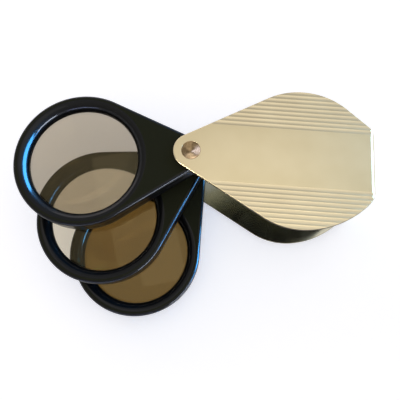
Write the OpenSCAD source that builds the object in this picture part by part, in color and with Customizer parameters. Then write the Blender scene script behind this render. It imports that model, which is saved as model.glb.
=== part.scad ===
// Folding pocket magnifier: three lenses in teardrop frames that swing out of a
// sheet-metal case about one rivet.
// The pivot axis is the Z axis, the case lies along +X, and Z = 0 is the underside
// of the case.

/* [Lenses] */
// Clear opening of every lens
clear_diameter = 28; // [20:1:36]
// Width of the flat flange around each lens
lens_flange = 1; // [0.6:0.1:1.4]
// Thickness of the lens flange
lens_edge = 1; // [0.8:0.1:1.6]
// Radius of both faces of the upper lens
upper_curve = 65; // [46:1:120]
// Radius of both faces of the middle lens
middle_curve = 59; // [46:1:120]
// Radius of both faces of the lower lens
lower_curve = 52; // [46:1:120]

/* [Lens frames] */
// Width of the slope that leads from the frame's face down to the lens
slope_width = 1.3; // [1:0.1:2]
// Width of the rim outside the slope
rim_width = 2.2; // [1.7:0.1:3]
// Distance from the pivot to the near edge of the round part of the frame
neck_length = 10.3; // [9:0.1:16]
// Radius of the frame's end around the pivot
hub_radius = 4; // [3.8:0.1:5]
// Radius that rounds the outer edge of both faces
edge_round = 0.8; // [0.4:0.1:1]
// Depth of the frame's face above the top of the most curved lens
lens_recess = 0.45; // [0.3:0.05:1]
// Height of the upright land just above the lens
land_height = 0.3; // [0.2:0.05:0.5]
// Bevel along the seam where the two halves of a frame meet
seam_bevel = 0.2; // [0.1:0.05:0.3]
// Diameter of the two pegs that line up the halves of a frame
peg_diameter = 1.8; // [1.2:0.1:2.2]
// Height of the pegs
peg_height = 1.2; // [0.8:0.1:1.4]
// Distance between the two pegs
peg_spread = 8; // [6:0.5:9]
// Distance of the pegs from the pivot, along the frame
peg_reach = 8.3; // [7:0.1:8.6]

/* [Case] */
// Thickness of the sheet
sheet = 0.8; // [0.6:0.1:1.2]
// How far the plates reach past the sides of the folded frames
side_cover = 0.7; // [0.4:0.1:2]
// Gap between the folded frames and the end web
web_gap = 0.3; // [0.2:0.1:1.5]
// Width of the end web
web_width = 16.6; // [12:0.2:24]
// How much larger the radius of the plates' bowed edge is than that of their round part
bow_extra = 6; // [4:0.5:12]
// How far the nose of the case reaches past the frames' ends
nose_cover = 0.5; // [0.4:0.1:1.5]
// Inside radius of the two bends
bend_inside = 0.55; // [0.4:0.05:0.6]

/* [Ribs] */
// Width of the plain band along the middle of each plate
plain_band = 15; // [10:0.2:20]
// Distance from one groove to the next
rib_pitch = 1.19; // [0.8:0.01:2]
// Width of the crest left between two grooves
crest_width = 0.1; // [0.06:0.01:0.5]
// Depth of the grooves
groove_depth = 0.12; // [0.05:0.01:0.2]
// Least distance from the last groove to the plates' edge
edge_margin = 0.3; // [0.2:0.05:1]

/* [Pivot] */
// Diameter of the rivet's shank
rivet_diameter = 3.5; // [3:0.1:4]
// How much the rivet's ends widen on each side
rivet_flare = 0.55; // [0.4:0.05:0.7]
// Depth of the conical dimple in the rivet's upper end
dimple_depth = 1.1; // [0.5:0.1:1.5]
// Width of the ring left around the dimple
dimple_ring = 0.15; // [0.1:0.05:0.3]
// Thickness of the washers against the plates
washer_thickness = 0.4; // [0.2:0.05:0.6]
// Thickness of the spacers between the frames
spacer_thickness = 0.6; // [0.4:0.1:2]
// Outside radius of the washers and of the bosses that they bear on
washer_radius = 3.4; // [3:0.1:3.6]
// Height of the boss on each face of a frame around the pivot
boss_height = 0.5; // [0.2:0.05:0.8]

/* [Fits] */
// Radial clearance between the frames' bores and the rivet
running_fit = 0.05; // [0.03:0.01:0.08]
// Gap at each face on which a frame turns
turning_gap = 0.03; // [0.02:0.01:0.05]
// Radial clearance around the lenses and the pegs
loose_fit = 0.05; // [0.03:0.01:0.1]

/* [Position of the frames] */
// Angle of the upper frame from the folded position
upper_angle = 187.5; // [0:0.5:359.5]
// Angle of the middle frame from the folded position
middle_angle = 217; // [0:0.5:359.5]
// Angle of the lower frame from the folded position
lower_angle = 241; // [0:0.5:359.5]

/* [Detail] */
// Number of sides on round shapes
sides = 96; // [48:8:128]

/* [Hidden] */
$fn = sides;
bite = 0.2; // how far shapes that are joined or cut run into each other
tuck = 0.02; // how far a straight side stands inside the arcs at its ends
round_steps = 4; // flats that round the outer edge of a frame
hull_sides = 48; // sides of the two round ends that a frame is stretched over
face_steps = 6; // cones that make up each face of a lens
bow_steps = 16; // flats that make up the bowed edge of the plates
colour_case = [0.80, 0.75, 0.60];
colour_rivet = [0.74, 0.68, 0.56];
colour_washer = [0.62, 0.60, 0.56];
colour_frame = [0.09, 0.09, 0.08];
colour_lens = [0.86, 0.90, 0.90, 0.45];

// Lenses
clear_radius = clear_diameter / 2;
lens_radius = clear_radius + lens_flange;
curve_start = clear_radius - loose_fit;
deepest_curve = min(upper_curve, middle_curve, lower_curve);
function bulge(radius) = radius - sqrt(radius * radius - curve_start * curve_start);

// Lens frames
peg_floor = 0.6; // least thickness left above a peg's socket
half_seat = lens_edge / 2;
half_frame = max(half_seat + bulge(deepest_curve) + lens_recess, peg_height + peg_floor);
frame_radius = clear_radius + slope_width + rim_width;
arm = frame_radius + neck_length;
half_hub = half_frame + boss_height;
bore_radius = rivet_diameter / 2 + running_fit;

// Levels of the pivot stack, from the underside of the case
bottom_washer_z = sheet;
lower_level = bottom_washer_z + washer_thickness + turning_gap + half_hub;
level_step = 2 * half_hub + 2 * turning_gap + spacer_thickness;
middle_level = lower_level + level_step;
upper_level = middle_level + level_step;
lower_spacer_z = lower_level + half_hub + turning_gap;
upper_spacer_z = middle_level + half_hub + turning_gap;
top_washer_z = upper_level + half_hub + turning_gap;
case_height = top_washer_z + washer_thickness + sheet;

// Case
nose_radius = hub_radius + nose_cover;
cover_radius = frame_radius + side_cover;
case_length = arm + frame_radius + web_gap + sheet;
bend_outside = bend_inside + sheet;
cover_angle = asin((cover_radius - nose_radius) / arm);
half_groove = (rib_pitch - crest_width) / 2;
first_groove = plain_band / 2 + half_groove;
last_groove = cover_radius - edge_margin - half_groove;
groove_count = floor((last_groove - first_groove) / rib_pitch) + 1;

// The web's corners, seen from the centre of the plates' round part
far_x = case_length - arm;
far_y = web_width / 2;
far_reach = norm([far_x, far_y]);
far_angle = atan2(far_y, far_x);

// The bowed edge leaves the round part in its own direction and ends at the web
bow_radius = cover_radius + bow_extra;
bow_cosine = (2 * bow_radius * cover_radius - cover_radius * cover_radius
    - far_reach * far_reach) / (2 * bow_extra * far_reach);
bow_angle = far_angle + acos(max(-1, min(1, bow_cosine)));
bow_x = arm - bow_extra * cos(bow_angle);
bow_y = bow_extra * sin(bow_angle);
bow_end = atan2(bow_y + far_y, case_length - bow_x);

// Rivet
shank_radius = rivet_diameter / 2;
flare_radius = shank_radius + rivet_flare;

// Case: two plates and the web between them

// Block with the outline of the plates. Beside the web its edge is straight on the
// +Y side and bowed on the -Y side.
module plate_block() {
    near = [-sin(cover_angle), cos(cover_angle)];
    nose_in = nose_radius - tuck;
    cover_in = cover_radius - tuck;
    bow_in = bow_radius - tuck;
    touch = far_angle + acos(min(1, cover_radius / far_reach));
    cylinder(h = case_height, r = nose_radius);
    translate([arm, 0, 0]) cylinder(h = case_height, r = cover_radius);
    linear_extrude(case_height) polygon([
        [near[0] * nose_in, near[1] * nose_in],
        [arm + near[0] * cover_in, near[1] * cover_in],
        [arm + near[0] * cover_in, -near[1] * cover_in],
        [near[0] * nose_in, -near[1] * nose_in]
    ]);
    linear_extrude(case_height) polygon(concat(
        [[arm + cover_in * cos(touch), cover_in * sin(touch)],
         [case_length, far_y],
         [case_length, -far_y]],
        [for (i = [1 : bow_steps])
            let (turn = bow_end + (bow_angle - bow_end) * i / bow_steps)
            [bow_x + bow_in * cos(turn), bow_y - bow_in * sin(turn)]]
    ));
}

// Outside or inside of the bent sheet: a block with two round edges at the web.
// It reaches past the plates on the other three sides.
module sheet_block(skin, round, past) {
    reach = case_length - skin;
    foot = -nose_radius - past;
    side = cover_radius + past;
    height = case_height - 2 * skin;
    translate([foot, -side, skin]) cube([reach - round - foot, 2 * side, height]);
    translate([reach - round - bite, -side, skin + round])
        cube([round + bite, 2 * side, height - 2 * round]);
    for (z = [skin + round, case_height - skin - round])
        translate([reach - round, side, z]) rotate([90, 0, 0])
            cylinder(h = 2 * side, r = round);
}

// Cross-section of a groove, drawn a little past the plate's face
module groove_side() {
    wide = half_groove + crest_width / 4;
    over = groove_depth * (wide / half_groove - 1);
    polygon([[-wide, over], [wide, over], [0, -groove_depth]]);
}

module grooves() {
    run = case_length + nose_radius + 2 * bite;
    for (i = [0 : groove_count - 1], side = [-1, 1])
        translate([-nose_radius - bite, side * (first_groove + i * rib_pitch), 0])
            rotate([90, 0, 90])
                linear_extrude(run) groove_side();
}

module case() {
    color(colour_case) difference() {
        intersection() {
            plate_block();
            sheet_block(0, bend_outside, bite);
        }
        sheet_block(sheet, bend_inside, 2 * bite);
        translate([0, 0, case_height]) grooves();
        rotate([180, 0, 0]) grooves();
        rivet_solid(bite);
    }
}

// Pivot rivet and washers

// The rivet as a solid of revolution, with its ends flared into the plates.
// A longer one that runs past the plates cuts the holes that it fills.
module rivet_solid(past) {
    mouth = flare_radius + past * rivet_flare / sheet;
    rotate_extrude() polygon([
        [0, -past],
        [mouth, -past],
        [shank_radius, sheet],
        [shank_radius, case_height - sheet],
        [mouth, case_height + past],
        [0, case_height + past]
    ]);
}

module pivot_rivet() {
    dimple_radius = flare_radius - dimple_ring;
    steepness = dimple_depth / dimple_radius;
    color(colour_rivet) difference() {
        rivet_solid(0);
        rotate_extrude() polygon([
            [0, case_height - dimple_depth],
            [dimple_radius + bite, case_height + bite * steepness],
            [0, case_height + bite * steepness]
        ]);
    }
}

module washer(base, thickness) {
    color(colour_washer) translate([0, 0, base]) difference() {
        cylinder(h = thickness, r = washer_radius);
        translate([0, 0, -bite]) cylinder(h = thickness + 2 * bite, r = shank_radius);
    }
}

module top_washer() { washer(top_washer_z, washer_thickness); }
module upper_spacer() { washer(upper_spacer_z, spacer_thickness); }
module lower_spacer() { washer(lower_spacer_z, spacer_thickness); }
module bottom_washer() { washer(bottom_washer_z, washer_thickness); }

// Lens frames

// Round end of a half, seam down, with a beveled seam and a rounded outer edge
module half_end(radius) {
    rotate_extrude($fn = hull_sides) polygon(concat(
        [[0, 0], [radius - seam_bevel, 0], [radius, seam_bevel]],
        [for (i = [0 : round_steps]) let (turn = 90 * i / round_steps)
            [radius - edge_round + edge_round * cos(turn),
             half_frame - edge_round + edge_round * sin(turn)]],
        [[0, half_frame]]
    ));
}

// One half of a frame, seam down and face up, with its pivot on the Z axis.
// The lower half of a frame has the pegs and the upper half their sockets.
module frame_half(pegs) {
    slope_start = half_seat + land_height;
    slope_rise = half_frame - slope_start;
    color(colour_frame) difference() {
        union() {
            hull() {
                half_end(hub_radius);
                translate([arm, 0, 0]) half_end(frame_radius);
            }
            cylinder(h = half_hub, r = washer_radius);
            if (pegs) peg_pair(peg_diameter / 2, peg_height);
        }
        translate([0, 0, -bite]) cylinder(h = half_hub + 2 * bite, r = bore_radius);
        translate([arm, 0, -bite]) cylinder(h = half_seat + bite, r = lens_radius + loose_fit);
        translate([arm, 0, 0]) cylinder(h = half_frame, r = clear_radius);
        translate([arm, 0, slope_start])
            cylinder(h = 2 * slope_rise, r1 = clear_radius, r2 = clear_radius + 2 * slope_width);
        if (!pegs) rotate([180, 0, 0])
            peg_pair(peg_diameter / 2 + loose_fit, peg_height + loose_fit);
    }
}

// Two pegs that reach down from the seam
module peg_pair(radius, height) {
    for (side = [-1, 1])
        translate([peg_reach, side * peg_spread / 2, -height])
            cylinder(h = height + bite, r = radius);
}

module place_frame(level, angle) {
    translate([0, 0, level]) rotate([0, 0, angle]) children();
}

module top_half(level, angle) {
    place_frame(level, angle) frame_half(false);
}

module bottom_half(level, angle) {
    place_frame(level, angle) rotate([180, 0, 0]) frame_half(true);
}

module upper_frame_top_half() { top_half(upper_level, upper_angle); }
module upper_frame_bottom_half() { bottom_half(upper_level, upper_angle); }
module middle_frame_top_half() { top_half(middle_level, middle_angle); }
module middle_frame_bottom_half() { bottom_half(middle_level, middle_angle); }
module lower_frame_top_half() { top_half(lower_level, lower_angle); }
module lower_frame_bottom_half() { bottom_half(lower_level, lower_angle); }

// Lenses

// Outline of one face of a lens, from the flange to the middle
function lens_face(radius) = [
    for (i = [face_steps : -1 : 0])
        let (x = curve_start * i / face_steps)
        [x, half_seat + bulge(radius) - radius + sqrt(radius * radius - x * x)]
];

module lens(level, angle, radius) {
    upper = lens_face(radius);
    lower = [for (i = [face_steps : -1 : 0]) [upper[i][0], -upper[i][1]]];
    color(colour_lens) place_frame(level, angle) translate([arm, 0, 0])
        rotate_extrude() polygon(concat(
            [[lens_radius, -half_seat], [lens_radius, half_seat]],
            upper,
            lower
        ));
}

module upper_lens() { lens(upper_level, upper_angle, upper_curve); }
module middle_lens() { lens(middle_level, middle_angle, middle_curve); }
module lower_lens() { lens(lower_level, lower_angle, lower_curve); }

case();
pivot_rivet();
top_washer();
upper_spacer();
lower_spacer();
bottom_washer();
upper_frame_top_half();
upper_frame_bottom_half();
upper_lens();
middle_frame_top_half();
middle_frame_bottom_half();
middle_lens();
lower_frame_top_half();
lower_frame_bottom_half();
lower_lens();
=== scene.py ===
import bpy
import math
from mathutils import Matrix, Vector


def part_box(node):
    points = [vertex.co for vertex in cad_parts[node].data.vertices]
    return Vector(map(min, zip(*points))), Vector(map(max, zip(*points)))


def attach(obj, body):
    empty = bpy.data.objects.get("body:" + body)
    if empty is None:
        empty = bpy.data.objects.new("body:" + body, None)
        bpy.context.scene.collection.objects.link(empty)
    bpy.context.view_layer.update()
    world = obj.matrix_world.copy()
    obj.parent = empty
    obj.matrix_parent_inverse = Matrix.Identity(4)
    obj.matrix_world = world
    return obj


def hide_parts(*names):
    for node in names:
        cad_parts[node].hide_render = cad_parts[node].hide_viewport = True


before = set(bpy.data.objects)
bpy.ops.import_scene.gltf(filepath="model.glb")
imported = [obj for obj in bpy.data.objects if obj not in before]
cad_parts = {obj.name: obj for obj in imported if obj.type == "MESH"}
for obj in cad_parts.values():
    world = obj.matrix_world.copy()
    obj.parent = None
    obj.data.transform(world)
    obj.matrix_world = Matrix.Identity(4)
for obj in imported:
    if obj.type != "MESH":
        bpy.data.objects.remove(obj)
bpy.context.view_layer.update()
print("Frame loaded:", len(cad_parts), "nodes")

mm = 0.001
near = 0.01 * mm  # two places closer than this are taken as one
lensNames = ["upper_lens", "middle_lens", "lower_lens"]


# Small helpers for modelling and materials

def deselectAll():
    if bpy.context.object and bpy.context.object.mode != "OBJECT":
        bpy.ops.object.mode_set(mode="OBJECT")
    bpy.ops.object.select_all(action="DESELECT")


def takeUp(piece):
    deselectAll()
    piece.select_set(True)
    bpy.context.view_layer.objects.active = piece


def nameIt(name):
    piece = bpy.context.active_object
    piece.name = name
    piece.data.name = name
    return piece


def pick(piece, kind, test):
    # Selects the vertices, edges or polygons that pass the test, in edit mode
    takeUp(piece)
    mesh = piece.data
    for group in (mesh.vertices, mesh.edges, mesh.polygons):
        group.foreach_set("select", [False] * len(group))
    for item in getattr(mesh, kind):
        item.select = test(item)
    bpy.ops.object.mode_set(mode="EDIT")
    bpy.ops.mesh.select_mode(type={"vertices": "VERT", "edges": "EDGE", "polygons": "FACE"}[kind])


def ends(piece, edge):
    return [piece.data.vertices[index].co for index in edge.vertices]


def applyModifier(piece, kind, **settings):
    takeUp(piece)
    modifier = piece.modifiers.new(kind.title(), kind)
    for key, value in settings.items():
        setattr(modifier, key, value)
    bpy.ops.object.modifier_apply(modifier=modifier.name)


def cutWith(piece, cutter, operation="DIFFERENCE"):
    applyModifier(piece, "BOOLEAN", operation=operation, solver="EXACT", object=cutter)
    bpy.data.objects.remove(cutter)


def joinPieces(name, pieces):
    takeUp(pieces[0])
    for piece in pieces[1:]:
        piece.select_set(True)
    bpy.ops.object.join()
    return nameIt(name)


def stretchOver(name, pieces):
    # Stretches one closed skin over round posts, as a sheet's or a moulding's outline
    mergeGap, flatAngle = 0.1 * mm, 0.4
    piece = joinPieces(name, pieces)
    bpy.ops.object.mode_set(mode="EDIT")
    bpy.ops.mesh.select_all(action="SELECT")
    bpy.ops.mesh.convex_hull()
    bpy.ops.mesh.remove_doubles(threshold=mergeGap)
    bpy.ops.mesh.dissolve_limited(angle_limit=math.radians(flatAngle))
    bpy.ops.mesh.normals_make_consistent(inside=False)
    bpy.ops.object.mode_set(mode="OBJECT")
    return piece


def post(radius, low, high, sides, x=0.0, y=0.0):
    deselectAll()
    bpy.ops.mesh.primitive_cylinder_add(
        vertices=sides, radius=radius, depth=high - low, location=(x, y, (low + high) / 2))
    bpy.ops.object.transform_apply()
    return bpy.context.active_object


def turned(name, steps, sides, x=0.0):
    # A turned shape: a disc is drawn up or down and opened or closed from step to step
    deselectAll()
    radius, z = steps[0]
    bpy.ops.mesh.primitive_circle_add(
        vertices=sides, radius=radius, fill_type="TRIFAN", location=(x, 0, z))
    bpy.ops.object.transform_apply()
    bpy.ops.object.mode_set(mode="EDIT")
    bpy.ops.mesh.select_all(action="SELECT")
    for nextRadius, nextZ in steps[1:]:
        bpy.ops.mesh.extrude_region_move(TRANSFORM_OT_translate={"value": (0, 0, nextZ - z)})
        ratio = nextRadius / radius
        bpy.ops.transform.resize(value=(ratio, ratio, 1), center_override=(x, 0, nextZ))
        radius, z = nextRadius, nextZ
    bpy.ops.mesh.select_all(action="SELECT")
    bpy.ops.mesh.normals_make_consistent(inside=False)
    bpy.ops.object.mode_set(mode="OBJECT")
    return nameIt(name)


def smooth(piece, degrees, weigh=True):
    takeUp(piece)
    bpy.ops.object.shade_smooth_by_angle(angle=math.radians(degrees))
    if weigh:
        applyModifier(piece, "WEIGHTED_NORMAL", keep_sharp=True)


def linear(code):
    # sRGB hex to the linear colour that a shader takes
    parts = [int(code[i:i + 2], 16) / 255 for i in (1, 3, 5)]
    return [c / 12.92 if c <= 0.04045 else ((c + 0.055) / 1.055) ** 2.4 for c in parts] + [1.0]


def startMaterial(name):
    material = bpy.data.materials.new(name)
    material.use_nodes = True
    shader = material.node_tree.nodes["Principled BSDF"]
    return material, shader


def addNode(material, kind, settings=None, **links):
    # Adds a node. A socket goes by its name, or as i0, i1 and so on by its number. A link is a
    # (node, output) pair, and anything else is the socket's value.
    tree = material.node_tree
    node = tree.nodes.new(kind)
    for key, value in (settings or {}).items():
        setattr(node, key, value)
    for key, value in links.items():
        socket = node.inputs[int(key[1:])] if key[0] == "i" and key[1:].isdigit() else node.inputs[key]
        if isinstance(value, tuple) and hasattr(value[0], "outputs"):
            tree.links.new(value[0].outputs[value[1]], socket)
        else:
            socket.default_value = value
    return node


def feed(material, node, output, shader, socket):
    material.node_tree.links.new(node.outputs[output], shader.inputs[socket])


# Where the frames are, read from their lenses

def framePlaces():
    places = {}
    for name in lensNames:
        low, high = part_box(name)
        middle = (low + high) / 2
        body = name.replace("_lens", "_frame")
        places[body] = {
            "level": middle.z,
            "arm": math.hypot(middle.x, middle.y),
            "angle": math.atan2(middle.y, middle.x),
        }
    return places


places = framePlaces()
caseLow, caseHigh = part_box("case")
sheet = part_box("bottom_washer")[0].z  # the washer lies on the lower plate
arm = places["upper_frame"]["arm"]  # from the rivet to a lens, the same for all three


# Materials

def satinCaseMetal(name, darkTone, paleTone):
    # Nickel-plated sheet, brushed along its length: soft long highlights. Its champagne tint is
    # painted: it stands in for the warm light that the plates reflect.
    # The brush lines are drawn coarser than real ones, so that they show.
    finish = {"brushPitch": 0.25 * mm, "brushStretch": 40, "cloudSize": 9 * mm,
              "darkBelow": 0.3, "paleAbove": 0.7, "smoothest": 0.30, "roughest": 0.38,
              "relief": 0.10, "reliefDepth": 0.01 * mm}
    material, shader = startMaterial(name)
    place = addNode(material, "ShaderNodeTexCoord")
    across = 1 / finish["brushPitch"]
    brushSpace = addNode(material, "ShaderNodeMapping", i0=(place, "Object"),
                         i3=(across / finish["brushStretch"], across, across))
    brush = addNode(material, "ShaderNodeTexNoise", Vector=(brushSpace, "Vector"),
                    Scale=1.0, Detail=3.0, Roughness=0.6)
    cloud = addNode(material, "ShaderNodeTexNoise", Vector=(place, "Object"),
                    Scale=1 / finish["cloudSize"], Detail=2.0)
    tone = addNode(material, "ShaderNodeValToRGB", Fac=(cloud, "Fac"))
    dark, pale = tone.color_ramp.elements
    dark.position, dark.color = finish["darkBelow"], linear(darkTone)
    pale.position, pale.color = finish["paleAbove"], linear(paleTone)
    gloss = addNode(material, "ShaderNodeMapRange", Value=(brush, "Fac"),
                    i3=finish["smoothest"], i4=finish["roughest"])
    bump = addNode(material, "ShaderNodeBump", Height=(brush, "Fac"),
                   Strength=finish["relief"], Distance=finish["reliefDepth"])
    feed(material, tone, "Color", shader, "Base Color")
    feed(material, gloss, "Result", shader, "Roughness")
    feed(material, bump, "Normal", shader, "Normal")
    shader.inputs["Metallic"].default_value = 1.0
    return material


def polishedInside():
    # The same sheet inside the case, bright and unbrushed: it mirrors what is around it
    finish = {"waveSize": 14 * mm, "smearSize": 3 * mm, "smoothest": 0.06, "roughest": 0.16,
              "relief": 0.25, "reliefDepth": 0.4 * mm}
    material, shader = startMaterial("polishedNickelInside")
    place = addNode(material, "ShaderNodeTexCoord")
    wave = addNode(material, "ShaderNodeTexNoise", Vector=(place, "Object"),
                   Scale=1 / finish["waveSize"], Detail=1.0)
    smear = addNode(material, "ShaderNodeTexNoise", Vector=(place, "Object"),
                    Scale=1 / finish["smearSize"], Detail=3.0)
    gloss = addNode(material, "ShaderNodeMapRange", Value=(smear, "Fac"),
                    i3=finish["smoothest"], i4=finish["roughest"])
    bump = addNode(material, "ShaderNodeBump", Height=(wave, "Fac"),
                   Strength=finish["relief"], Distance=finish["reliefDepth"])
    feed(material, gloss, "Result", shader, "Roughness")
    feed(material, bump, "Normal", shader, "Normal")
    shader.inputs["Base Color"].default_value = linear("#bcbcb0")
    shader.inputs["Metallic"].default_value = 1.0
    return material


def shearedEdgePaintedDarkMetal():
    # The sheet's bare edge as the press cut it: torn and dull. Its dark base is partly painted: it
    # stands in for the dark line of reflection and shade along the plate's edge.
    finish = {"tearSize": 0.4 * mm, "smoothest": 0.45, "roughest": 0.65}
    material, shader = startMaterial("shearedSheetEdgePaintedDark")
    place = addNode(material, "ShaderNodeTexCoord")
    tear = addNode(material, "ShaderNodeTexNoise", Vector=(place, "Object"),
                   Scale=1 / finish["tearSize"], Detail=3.0)
    gloss = addNode(material, "ShaderNodeMapRange", Value=(tear, "Fac"),
                    i3=finish["smoothest"], i4=finish["roughest"])
    feed(material, gloss, "Result", shader, "Roughness")
    # Painted dark edge line: this base is darker than the cut metal alone would be
    shader.inputs["Base Color"].default_value = linear("#4a4236")
    shader.inputs["Metallic"].default_value = 1.0
    return material


def turnedRivetMetal():
    # Turned nickel silver: rings from the tool spread each highlight into two fans
    finish = {"grimeSize": 0.8 * mm, "darkBelow": 0.35, "paleAbove": 0.65,
              "roughness": 0.19, "ringPull": 0.8}
    material, shader = startMaterial("turnedNickelSilver")
    place = addNode(material, "ShaderNodeTexCoord")
    around = addNode(material, "ShaderNodeVectorMath", {"operation": "CROSS_PRODUCT"},
                     i0=(place, "Object"), i1=(0, 0, 1))
    feed(material, around, "Vector", shader, "Tangent")
    grime = addNode(material, "ShaderNodeTexNoise", Vector=(place, "Object"),
                    Scale=1 / finish["grimeSize"], Detail=4.0)
    tone = addNode(material, "ShaderNodeValToRGB", Fac=(grime, "Fac"))
    dark, pale = tone.color_ramp.elements
    dark.position, dark.color = finish["darkBelow"], linear("#786549")
    pale.position, pale.color = finish["paleAbove"], linear("#998467")
    feed(material, tone, "Color", shader, "Base Color")
    shader.inputs["Metallic"].default_value = 1.0
    shader.inputs["Roughness"].default_value = finish["roughness"]
    shader.inputs["Anisotropic"].default_value = finish["ringPull"]
    return material


def washerMetal():
    # Plain steel stamped from strip, with faint marks from handling
    finish = {"markSize": 0.6 * mm, "smoothest": 0.25, "roughest": 0.45}
    material, shader = startMaterial("stampedSteel")
    place = addNode(material, "ShaderNodeTexCoord")
    marks = addNode(material, "ShaderNodeTexNoise", Vector=(place, "Object"),
                    Scale=1 / finish["markSize"], Detail=4.0)
    gloss = addNode(material, "ShaderNodeMapRange", Value=(marks, "Fac"),
                    i3=finish["smoothest"], i4=finish["roughest"])
    feed(material, gloss, "Result", shader, "Roughness")
    shader.inputs["Base Color"].default_value = linear("#b4afa6")
    shader.inputs["Metallic"].default_value = 1.0
    return material


def satinBlackPlastic():
    # Moulded ABS with a fine spark-eroded face: near black and dull, with hardly any sheen of its own.
    # Its base is lifted to olive grey: a painted sheen for the room's reflection on the flat faces.
    # The grain is drawn coarser than a real one, so that it shows.
    finish = {"grain": 0.12 * mm, "cloudSize": 6 * mm, "smoothest": 0.50, "roughest": 0.60,
              "relief": 0.15, "reliefDepth": 0.03 * mm, "ior": 1.5, "mirror": 0.005}
    material, shader = startMaterial("satinBlackAbs")
    place = addNode(material, "ShaderNodeTexCoord")
    grain = addNode(material, "ShaderNodeTexNoise", Vector=(place, "Object"),
                    Scale=1 / finish["grain"], Detail=2.0)
    cloud = addNode(material, "ShaderNodeTexNoise", Vector=(place, "Object"),
                    Scale=1 / finish["cloudSize"], Detail=3.0)
    gloss = addNode(material, "ShaderNodeMapRange", Value=(cloud, "Fac"),
                    i3=finish["smoothest"], i4=finish["roughest"])
    bump = addNode(material, "ShaderNodeBump", Height=(grain, "Fac"),
                   Strength=finish["relief"], Distance=finish["reliefDepth"])
    feed(material, gloss, "Result", shader, "Roughness")
    feed(material, bump, "Normal", shader, "Normal")
    # Painted sheen: the olive lift of this base stands in for reflection that the low specular leaves
    # out
    shader.inputs["Base Color"].default_value = linear("#27291e")
    shader.inputs["IOR"].default_value = finish["ior"]
    shader.inputs["Specular IOR Level"].default_value = finish["mirror"]
    return material


def glossyBlackPlastic():
    # The same ABS where the mould was polished: a sharp highlight with a soft glow round it
    finish = {"rubSize": 2.5 * mm, "smoothest": 0.26, "roughest": 0.38, "ior": 1.5,
              "mirror": 0.07, "coat": 0.36, "coatRoughness": 0.12}
    material, shader = startMaterial("glossyBlackAbs")
    place = addNode(material, "ShaderNodeTexCoord")
    rubs = addNode(material, "ShaderNodeTexNoise", Vector=(place, "Object"),
                   Scale=1 / finish["rubSize"], Detail=4.0)
    gloss = addNode(material, "ShaderNodeMapRange", Value=(rubs, "Fac"),
                    i3=finish["smoothest"], i4=finish["roughest"])
    feed(material, gloss, "Result", shader, "Roughness")
    shader.inputs["Base Color"].default_value = linear("#070708")
    shader.inputs["IOR"].default_value = finish["ior"]
    shader.inputs["Specular IOR Level"].default_value = finish["mirror"]
    shader.inputs["Coat Weight"].default_value = finish["coat"]
    shader.inputs["Coat Roughness"].default_value = finish["coatRoughness"]
    return material


def lensGlass(name, tint):
    # Polished crown glass, coated, so it mirrors warm. Its warm tint is painted shade: it stands in
    # for the brown, shaded ground seen through the lens, not for a colour the glass has.
    crownIor = 1.52
    material, shader = startMaterial(name)
    shader.inputs["Base Color"].default_value = linear(tint)
    shader.inputs["Roughness"].default_value = 0.0
    shader.inputs["IOR"].default_value = crownIor
    shader.inputs["Transmission Weight"].default_value = 1.0
    shader.inputs["Specular Tint"].default_value = linear("#fff0c0")
    return material


def backdropPaint():
    # Matt white emulsion on the studio's floor and wall
    finish = {"roughness": 0.9, "glowSeen": 0.52}
    material, shader = startMaterial("matWhiteEmulsion")
    shader.inputs["Base Color"].default_value = linear("#f6f6f4")
    shader.inputs["Roughness"].default_value = finish["roughness"]
    shader.inputs["Specular IOR Level"].default_value = 0.0
    # a little paler for the eye, in metal and through glass, and still no light on the object
    path = addNode(material, "ShaderNodeLightPath")
    seen = addNode(material, "ShaderNodeMath", {"operation": "ADD"},
                   i0=(path, "Is Camera Ray"), i1=(path, "Is Glossy Ray"))
    seen = addNode(material, "ShaderNodeMath", {"operation": "ADD", "use_clamp": True},
                   i0=(seen, "Value"), i1=(path, "Is Transmission Ray"))
    lift = addNode(material, "ShaderNodeMath", {"operation": "MULTIPLY"},
                   i0=(seen, "Value"), i1=finish["glowSeen"])
    feed(material, lift, "Value", shader, "Emission Strength")
    shader.inputs["Emission Color"].default_value = linear("#e6ecff")
    return material


# Painted warmth: the champagne tones of both case metals stand in for warm light that the plates
# reflect
satinMetal = satinCaseMetal("satinNickelPaintedWarmth", "#d5c7a4", "#dbcead")
grooveMetal = satinCaseMetal("satinGroovesPaintedWarmth", "#d2c5a7", "#d8ccae")
insideMetal = polishedInside()
cutEdgePaintedDarkMetal = shearedEdgePaintedDarkMetal()
rivetMetal = turnedRivetMetal()
steel = washerMetal()
satinBlack = satinBlackPlastic()
glossBlack = glossyBlackPlastic()
# Painted shade: one tint per lens, darkest on the lower lens, for the brown and shade seen through it
lensTintsWithPaintedShade = {"upper_lens": "#bbb09d", "middle_lens": "#f0e4c8", "lower_lens": "#896b37"}
print("Materials made")


# Case: one bent sheet with ribbed plates

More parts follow.
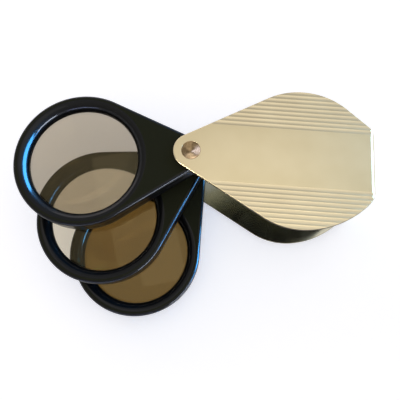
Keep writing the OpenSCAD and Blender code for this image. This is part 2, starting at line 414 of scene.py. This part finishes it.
case = {
    "noseSides": 96,
    "coverSides": 256,
    "coverRadius": caseHigh.y,
    "noseRadius": -caseLow.x,
    "length": caseHigh.x,
    "height": caseHigh.z,
    "webWidth": 16.6 * mm,
    "webBlock": mm,
    "bowExtra": 6.0 * mm,
    "bowLead": 2.0 * mm,
    "bendInside": 1.2 * mm,
    "bendSegments": 12,
    "bendInsideSegments": 8,
    "edgeRound": 0.3 * mm,
    "edgeSegments": 4,
    "edgeAngle": 35,  # in degrees, as is smoothAngle
    "innerEdgeRound": 0.06 * mm,
    "innerEdgeSegments": 2,
    "plainBand": 15.0 * mm,
    "ribPitch": 1.19 * mm,
    "grooveWidth": 1.09 * mm,
    "grooveDepth": 0.085 * mm,
    "grooveCount": 9,
    "grooveSides": 96,
    "grooveOver": 0.004 * mm,
    "grooveRunOut": 2 * mm,
    "rivetMouth": 2.44 * mm,
    "rivetShank": 1.75 * mm,
    "holeOver": 0.3 * mm,
    "holeSides": 96,
    "insidePast": 3 * mm,
    "cutFaceTilt": 0.65,  # a cut face's normal leans up by less than this
    "cutFaceTurn": 0.99,  # and points along the case by less than this
    "smoothAngle": 28,
}

# The numbers of the case's metals, in the order in which faced() adds them
outerFace, innerFace, grooveFace, cutFace = range(4)


def block(low, high):
    deselectAll()
    middle = [(a + b) / 2 for a, b in zip(low, high)]
    bpy.ops.mesh.primitive_cube_add(size=1, location=middle)
    bpy.context.active_object.scale = [b - a for a, b in zip(low, high)]
    bpy.ops.object.transform_apply()
    return bpy.context.active_object


def roundAlongY(piece, x, heights, radius, segments):
    # Rounds the edges that run across the case at x
    def atBend(edge):
        start, end = ends(piece, edge)
        atPlace = all(abs(p.x - x) < near and min(abs(p.z - h) for h in heights) < near
                      for p in (start, end))
        return atPlace and abs(start.z - end.z) < near

    pick(piece, "edges", atBend)
    bpy.ops.mesh.bevel(offset=radius, segments=segments, affect="EDGES", clamp_overlap=False)
    bpy.ops.object.mode_set(mode="OBJECT")


def bowedEdge(size):
    # The part of a wider post's rim that runs from the round cover to the web
    cover, extra = size["coverRadius"], size["bowExtra"]
    corner = Vector((size["length"] - arm, size["webWidth"] / 2))
    wide = cover + extra
    cosine = (2 * wide * cover - cover ** 2 - corner.length_squared) / (2 * extra * corner.length)
    leave = math.atan2(corner.y, corner.x) + math.acos(cosine)
    start = arm + cover * math.cos(leave) + size["bowLead"]
    stop = size["length"] - size["bowLead"]
    piece = post(wide, 0, size["height"], size["coverSides"],
                 x=arm - extra * math.cos(leave), y=extra * math.sin(leave))
    pick(piece, "vertices", lambda v: not (start < v.co.x < stop and v.co.y < -corner.y))
    bpy.ops.mesh.delete(type="VERT")
    bpy.ops.object.mode_set(mode="OBJECT")
    return piece


def faced(piece, index):
    # Gives the piece the case's metals, and all its faces one of them
    for material in (satinMetal, insideMetal, grooveMetal, cutEdgePaintedDarkMetal):
        piece.data.materials.append(material)
    for face in piece.data.polygons:
        face.material_index = index
    return piece


def grooveCutter(size, z, upward):
    radius = (size["grooveWidth"] ** 2 / 4 + size["grooveDepth"] ** 2) / (2 * size["grooveDepth"])
    run = size["length"] + size["noseRadius"] + 2 * size["grooveRunOut"]
    middleX = (size["length"] - size["noseRadius"]) / 2
    first = size["plainBand"] / 2 + size["grooveWidth"] / 2
    height = z + upward * (radius - size["grooveDepth"])
    cutters = []
    for side in (-1, 1):
        deselectAll()
        bpy.ops.mesh.primitive_cylinder_add(
            vertices=size["grooveSides"], radius=radius, depth=run,
            location=(middleX, side * first, height), rotation=(0, math.pi / 2, 0))
        bpy.ops.object.transform_apply()
        cutter = bpy.context.active_object
        # only the sliver that dips into the plate is kept, so that neighbours stay apart
        bpy.ops.object.mode_set(mode="EDIT")
        bpy.ops.mesh.select_all(action="SELECT")
        bpy.ops.mesh.bisect(plane_co=(0, 0, z + upward * size["grooveOver"]),
                            plane_no=(0, 0, upward), clear_outer=True)
        bpy.ops.mesh.select_all(action="SELECT")
        bpy.ops.mesh.convex_hull()
        bpy.ops.mesh.normals_make_consistent(inside=False)
        bpy.ops.object.mode_set(mode="OBJECT")
        applyModifier(cutter, "ARRAY", count=size["grooveCount"], use_relative_offset=False,
                      use_constant_offset=True,
                      constant_offset_displace=(0, side * size["ribPitch"], 0))
        cutters.append(cutter)
    return faced(joinPieces("grooveCutter", cutters), grooveFace)


def makeCase(size):
    height, length = size["height"], size["length"]
    halfWeb = size["webWidth"] / 2
    piece = stretchOver("ribbed_case", [
        post(size["noseRadius"], 0, height, size["noseSides"]),
        post(size["coverRadius"], 0, height, size["coverSides"], x=arm),
        block((length - size["webBlock"], -halfWeb, 0), (length, halfWeb, height)),
        bowedEdge(size),
    ])
    roundAlongY(piece, length, (0, height), size["bendInside"] + sheet, size["bendSegments"])
    applyModifier(piece, "BEVEL", width=size["edgeRound"], segments=size["edgeSegments"],
                  limit_method="ANGLE", angle_limit=math.radians(size["edgeAngle"]),
                  use_clamp_overlap=False)
    faced(piece, outerFace)
    cutWith(piece, grooveCutter(size, height, 1))
    cutWith(piece, grooveCutter(size, 0, -1))
    slope = (size["rivetMouth"] - size["rivetShank"]) / sheet
    over = size["holeOver"]
    mouth = size["rivetMouth"] + slope * over
    cutWith(piece, turned("rivetHole", [
        (mouth, -over), (size["rivetShank"], sheet), (size["rivetShank"], height - sheet),
        (mouth, height + over)], size["holeSides"]))
    past = size["insidePast"]
    inside = block((-size["noseRadius"] - past, -size["coverRadius"] - past, sheet),
                   (length - sheet, size["coverRadius"] + past, height - sheet))
    roundAlongY(inside, length - sheet, (sheet, height - sheet), size["bendInside"],
                size["bendInsideSegments"])
    cutWith(piece, faced(inside, innerFace))
    pick(piece, "polygons", lambda face: face.material_index == innerFace)
    bpy.ops.mesh.region_to_loop()
    bpy.ops.mesh.bevel(offset=size["innerEdgeRound"], segments=size["innerEdgeSegments"],
                       affect="EDGES", clamp_overlap=False)
    bpy.ops.object.mode_set(mode="OBJECT")
    # the sheet's edge faces stand steeply, lie within a plate and don't belong to the web
    # These faces take the cut-edge metal, with its painted dark edge line
    for face in piece.data.polygons:
        steep = abs(face.normal.z) < size["cutFaceTilt"] and abs(face.normal.x) < size["cutFaceTurn"]
        inPlate = min(face.center.z, height - face.center.z) < sheet
        beforeWeb = face.center.x < length - sheet
        if steep and inPlate and beforeWeb and face.material_index == outerFace:
            face.material_index = cutFace
    smooth(piece, size["smoothAngle"], weigh=False)
    pick(piece, "polygons", lambda face: face.material_index == grooveFace)
    bpy.ops.mesh.region_to_loop()
    bpy.ops.mesh.mark_sharp()
    bpy.ops.object.mode_set(mode="OBJECT")
    applyModifier(piece, "WEIGHTED_NORMAL", keep_sharp=True)
    return piece


# Pieces that a lamp may light alone, as with flags in a studio
litAlone = {name: bpy.data.collections.new(name) for name in ("sheetMetal", "rivet", "mouldings")}
ribbedCase = makeCase(case)
litAlone["sheetMetal"].objects.link(ribbedCase)
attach(ribbedCase, "case")
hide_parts("case")
print("Case made:", len(ribbedCase.data.polygons), "faces")


# Rivet, flush in both plates

rivet = {
    "sides": case["holeSides"],
    "mouth": case["rivetMouth"],
    "shank": case["rivetShank"],
    "rim": 0.1 * mm,
    "rimRound": 0.06 * mm,
    "dimpleDepth": 0.76 * mm,
    "dimpleTip": 0.06 * mm,
    "smoothAngle": 30,
}


def makeRivet(size):
    top = caseHigh.z
    inner = size["mouth"] - size["rim"]
    soft = size["rimRound"]
    piece = turned("turned_rivet", [
        (size["mouth"] - soft, 0), (size["mouth"], soft), (size["shank"], sheet),
        (size["shank"], top - sheet), (size["mouth"], top - soft), (size["mouth"] - soft, top),
        (inner, top), (inner - soft, top - soft / 2), (size["dimpleTip"], top - size["dimpleDepth"]),
    ], size["sides"])
    smooth(piece, size["smoothAngle"])
    piece.data.materials.append(rivetMetal)
    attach(piece, "case")
    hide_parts("pivot_rivet")
    litAlone["rivet"].objects.link(piece)


makeRivet(rivet)
for name in ("top_washer", "upper_spacer", "lower_spacer", "bottom_washer"):
    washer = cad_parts[name]
    washer.data.materials.clear()
    washer.data.materials.append(steel)
print("Rivet and washers made")


# Lens frames: each is two moulded halves

halfFrame = {
    "ringSides": 192,
    "hubSides": 64,
    "outerRadius": 17.495 * mm,
    "hubRadius": 4.0 * mm,
    "edgeRound": 0.8 * mm,
    "edgeSegments": 8,
    "seamBevel": 0.2 * mm,
    "seamSegments": 2,
    "bossRadius": 3.4 * mm,
    "bossHeight": 0.5 * mm,
    "bossSides": 96,
    "bossWall": 0.8,  # share of the boss's height where its bevel starts
    "bossTop": 0.97,  # share of its radius that the bevel leaves
    "boreRadius": 1.8 * mm,
    "boreSides": 64,
    "seatRadius": 15.05 * mm,
    "seatDepth": 0.5 * mm,
    "openRadius": 14.0 * mm,
    "lensGap": 0.05 * mm,
    "landHeight": 0.3 * mm,
    "cutOver": mm,
    "slopeFoot": 0.12,  # in radians from upright
    "slopeSteps": 16,
    "shortestEdge": 0.002 * mm,
    "smoothAngle": 32,
    "flatFace": 0.999,  # a flat face's normal leans up by more than this
}


def openingSteps(size, faceZ):
    # Seat for the lens, the land above it, and the round slope from there up to the face
    seat, land = size["seatDepth"], size["seatDepth"] + size["landHeight"]
    steps = [(size["seatRadius"], -size["cutOver"]), (size["seatRadius"], seat),
             (size["openRadius"], seat), (size["openRadius"], land)]
    curve = (faceZ - land) / (1 - math.sin(size["slopeFoot"]))
    middle = size["openRadius"] + curve * math.cos(size["slopeFoot"])
    for i in range(1, size["slopeSteps"] + 1):
        turn = size["slopeFoot"] + (math.pi / 2 - size["slopeFoot"]) * i / size["slopeSteps"]
        steps.append((middle - curve * math.cos(turn), faceZ - curve + curve * math.sin(turn)))
    steps.append((steps[-1][0], faceZ + size["cutOver"]))
    return steps


def makeHalf(size):
    low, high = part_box("upper_frame_top_half")
    faceZ = high.z - low.z - size["bossHeight"]
    piece = stretchOver("frameHalf", [
        post(size["hubRadius"], 0, faceZ, size["hubSides"]),
        post(size["outerRadius"], 0, faceZ, size["ringSides"], x=arm),
    ])
    for z, width, segments in ((faceZ, size["edgeRound"], size["edgeSegments"]),
                               (0, size["seamBevel"], size["seamSegments"])):
        pick(piece, "edges", lambda edge: all(abs(p.z - z) < near for p in ends(piece, edge)))
        bpy.ops.mesh.bevel(offset=width, segments=segments, affect="EDGES", clamp_overlap=False)
        bpy.ops.object.mode_set(mode="OBJECT")
    cutWith(piece, turned("opening", openingSteps(size, faceZ), size["ringSides"], x=arm))
    wallTop = faceZ + size["bossHeight"] * size["bossWall"]
    boss = turned("boss", [
        (size["bossRadius"], faceZ / 2), (size["bossRadius"], wallTop),
        (size["bossRadius"] * size["bossTop"], faceZ + size["bossHeight"])], size["bossSides"])
    cutWith(piece, boss, "UNION")
    over = size["cutOver"]
    cutWith(piece, post(size["boreRadius"], -over, faceZ + 2 * over, size["boreSides"]))
    pick(piece, "polygons", lambda face: True)
    bpy.ops.mesh.dissolve_degenerate(threshold=size["shortestEdge"])
    bpy.ops.object.mode_set(mode="OBJECT")
    smooth(piece, size["smoothAngle"])
    piece.data.materials.clear()
    piece.data.materials.append(glossBlack)
    piece.data.materials.append(satinBlack)
    for face in piece.data.polygons:
        # the flat faces take the satin plastic, whose base carries a painted sheen
        flat = face.normal.z > size["flatFace"] and abs(face.center.z - faceZ) < near
        face.material_index = 1 if flat else 0
    return piece


def placeCopy(original, name, body, turnOver):
    piece = original.copy()
    piece.data = original.data.copy()
    bpy.context.scene.collection.objects.link(piece)
    piece.name = name
    piece.data.name = name
    place = places[body]
    over = Matrix.Rotation(math.pi, 4, "X") if turnOver else Matrix.Identity(4)
    lift = Matrix.Translation((0, 0, place["level"]))
    piece.matrix_world = lift @ Matrix.Rotation(place["angle"], 4, "Z") @ over
    takeUp(piece)
    bpy.ops.object.transform_apply()
    return piece


half = makeHalf(halfFrame)
for body in places:
    for part, turnOver in (("top_half", False), ("bottom_half", True)):
        moulded = placeCopy(half, f"{body}_{part}_moulding", body, turnOver)
        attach(moulded, body)
        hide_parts(f"{body}_{part}")
        litAlone["mouldings"].objects.link(moulded)
bpy.data.objects.remove(half)
print("Lens frames made")


# Lenses: two ground faces and a flat flange

lens = {
    "sides": 160,
    "rings": 24,
    "firstRing": 0.25,  # in steps from the middle
    "radius": halfFrame["seatRadius"] - halfFrame["lensGap"],
    "curveStart": halfFrame["openRadius"] - halfFrame["lensGap"],
    "flange": halfFrame["seatDepth"],
    "edgeBevel": 0.08 * mm,
    "smoothAngle": 8,
}


def makeLens(name, size):
    low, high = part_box(name)
    body = name.replace("_lens", "_frame")
    rise = (high.z - low.z) / 2 - size["flange"]
    start = size["curveStart"]
    curve = (start ** 2 + rise ** 2) / (2 * rise)
    cap = []
    for i in range(size["rings"]):
        radius = start * (i + size["firstRing"]) / (size["rings"] - 1 + size["firstRing"])
        cap.append((radius, size["flange"] + rise - curve + math.sqrt(curve ** 2 - radius ** 2)))
    soft = size["edgeBevel"]
    steps = [(r, -z) for r, z in cap]
    steps += [(size["radius"] - soft, -size["flange"]), (size["radius"], soft - size["flange"]),
              (size["radius"], size["flange"] - soft), (size["radius"] - soft, size["flange"])]
    steps += reversed(cap)
    piece = turned(name + "_ground", steps, size["sides"], x=arm)
    smooth(piece, size["smoothAngle"], weigh=False)
    placed = placeCopy(piece, name + "_glass", body, False)
    bpy.data.objects.remove(piece)
    placed.data.materials.append(lensGlass(name.replace("_lens", "LensGlass"), lensTintsWithPaintedShade[name]))
    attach(placed, body)
    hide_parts(name)


for name in lensNames:
    makeLens(name, lens)
print("Lenses made")


# Floor, light and camera

studio = {
    "floorRadius": 1.6,
    "wallRadius": 2.4,
    "wallHeight": 1.1,
    "coveSteps": 24,
    "sides": 128,
    "openTop": 0.99,
    "smoothAngle": 60,
    "floorGap": 0.05 * mm,
    "zenith": "#fffaf2",
    "zenithFrom": 0.95,
    "horizon": "#8f8e8a",
    "domeStrength": 0.70,
}

# Each lamp: where it stands, width, height, brightness of its face, colour, seen only in gloss,
# and the pieces that it lights alone
lamps = {
    "ceiling": [(0.07, 0.02, 0.55), 0.44, 0.34, 0.52, "#fff8ea", False],
    "backSoftbox": [(-0.34, 0.48, 0.26), 0.6, 0.24, 1.5, "#fff4f6", False],
    "frontSoftbox": [(0.05, -0.36, 0.42), 0.5, 0.24, 3.6, "#fff4dc", False, "sheetMetal"],
    "dimpleRight": [(-0.3, 0.18, 0.39), 0.26, 0.24, 6.0, "#bccaff", True, "rivet"],
    "dimpleLow": [(-0.03, 0.46, 0.31), 0.3, 0.24, 2.4, "#f2f4ff", True, "rivet"],
    "rimGlint": [(0.38, 0.12, 0.17), 0.3, 0.2, 14.0, "#f0f6ff", True, "rivet"],
    "window": [(0.38, 0.12, 0.17), 0.46, 0.2, 9.0, "#98d0ff", True, "sheetMetal"],
    "noseEdge": [(-0.35, -0.35, 0.12), 0.26, 0.1, 40.0, "#fff8ee", True, "sheetMetal"],
    "windowEdge": [(0.35, 0.19, 0.19), 0.66, 0.32, 76.0, "#48acff", True, "mouldings"],
    "windowLow": [(0.5, -0.1, 0.05), 0.26, 0.08, 84.0, "#58acff", True, "mouldings"],
    "neckStrip": [(0.42, -0.36, 0.14), 0.36, 0.08, 46.0, "#dce8ff", True, "mouldings"],
    "frontStrip": [(-0.08, -0.5, 0.13), 0.4, 0.03, 20.0, "#b4c4ff", True, "mouldings"],
}


def makeBackdrop(size):
    # A round floor that curves up into a wall all round, so that no view shows an edge
    steps = [(size["floorRadius"], 0)]
    width, height = size["wallRadius"] - size["floorRadius"], size["wallHeight"]
    for i in range(1, size["coveSteps"] + 1):
        turn = math.pi / 2 * i / size["coveSteps"]
        steps.append((size["floorRadius"] + width * math.sin(turn), height * (1 - math.cos(turn))))
    backdrop = turned("backdrop", steps, size["sides"])
    pick(backdrop, "polygons", lambda face: face.center.z > height * size["openTop"])
    bpy.ops.mesh.delete(type="FACE")
    bpy.ops.mesh.select_all(action="SELECT")
    bpy.ops.mesh.normals_make_consistent(inside=True)
    bpy.ops.transform.translate(value=(0, 0, -size["floorGap"]))
    bpy.ops.object.mode_set(mode="OBJECT")
    smooth(backdrop, size["smoothAngle"], weigh=False)
    backdrop.data.materials.append(backdropPaint())


def makeDome(size):
    world = bpy.data.worlds.new("dome")
    world.use_nodes = True
    bpy.context.scene.world = world
    tree = world.node_tree
    place = addNode(world, "ShaderNodeTexCoord")
    split = addNode(world, "ShaderNodeSeparateXYZ", Vector=(place, "Generated"))
    shade = addNode(world, "ShaderNodeValToRGB", Fac=(split, "Z"))
    low, high = shade.color_ramp.elements
    low.position, low.color = 0, linear(size["horizon"])
    high.position, high.color = size["zenithFrom"], linear(size["zenith"])
    tree.links.new(shade.outputs["Color"], tree.nodes["Background"].inputs["Color"])
    tree.nodes["Background"].inputs["Strength"].default_value = size["domeStrength"]


def hangLamp(name, place, width, height, brightness, colour, glossOnly, lights=None):
    light = bpy.data.lights.new(name, "AREA")
    light.shape = "RECTANGLE"
    light.size, light.size_y = width, height
    light.energy = brightness * math.pi * width * height
    light.color = linear(colour)[:3]
    lamp = bpy.data.objects.new(name, light)
    bpy.context.scene.collection.objects.link(lamp)
    lamp.location = place
    lamp.rotation_euler = (-Vector(place)).to_track_quat("-Z", "Y").to_euler()
    lamp.visible_diffuse = not glossOnly
    if lights:
        lamp.light_linking.receiver_collection = litAlone[lights]


camera = {
    "place": (5.06 * mm, -36.2 * mm, 118.98 * mm),
    "tilt": 0.2431,  # in radians, as is swing
    "swing": 0.0764,
    "lens": 36.34,
    "sensor": 36.0,
    "clipStart": 5 * mm,
}


def makeCamera(size):
    data = bpy.data.cameras.new("camera")
    data.lens = size["lens"]
    data.sensor_width = size["sensor"]
    data.clip_start = size["clipStart"]
    data.dof.use_dof = False
    made = bpy.data.objects.new("camera", data)
    bpy.context.scene.collection.objects.link(made)
    made.location = size["place"]
    made.rotation_euler = (size["tilt"], 0, size["swing"])
    bpy.context.scene.camera = made


makeBackdrop(studio)
makeDome(studio)
for name, settings in lamps.items():
    hangLamp(name, *settings)
makeCamera(camera)
bpy.context.scene.view_settings.view_transform = "Standard"
print("Studio made")
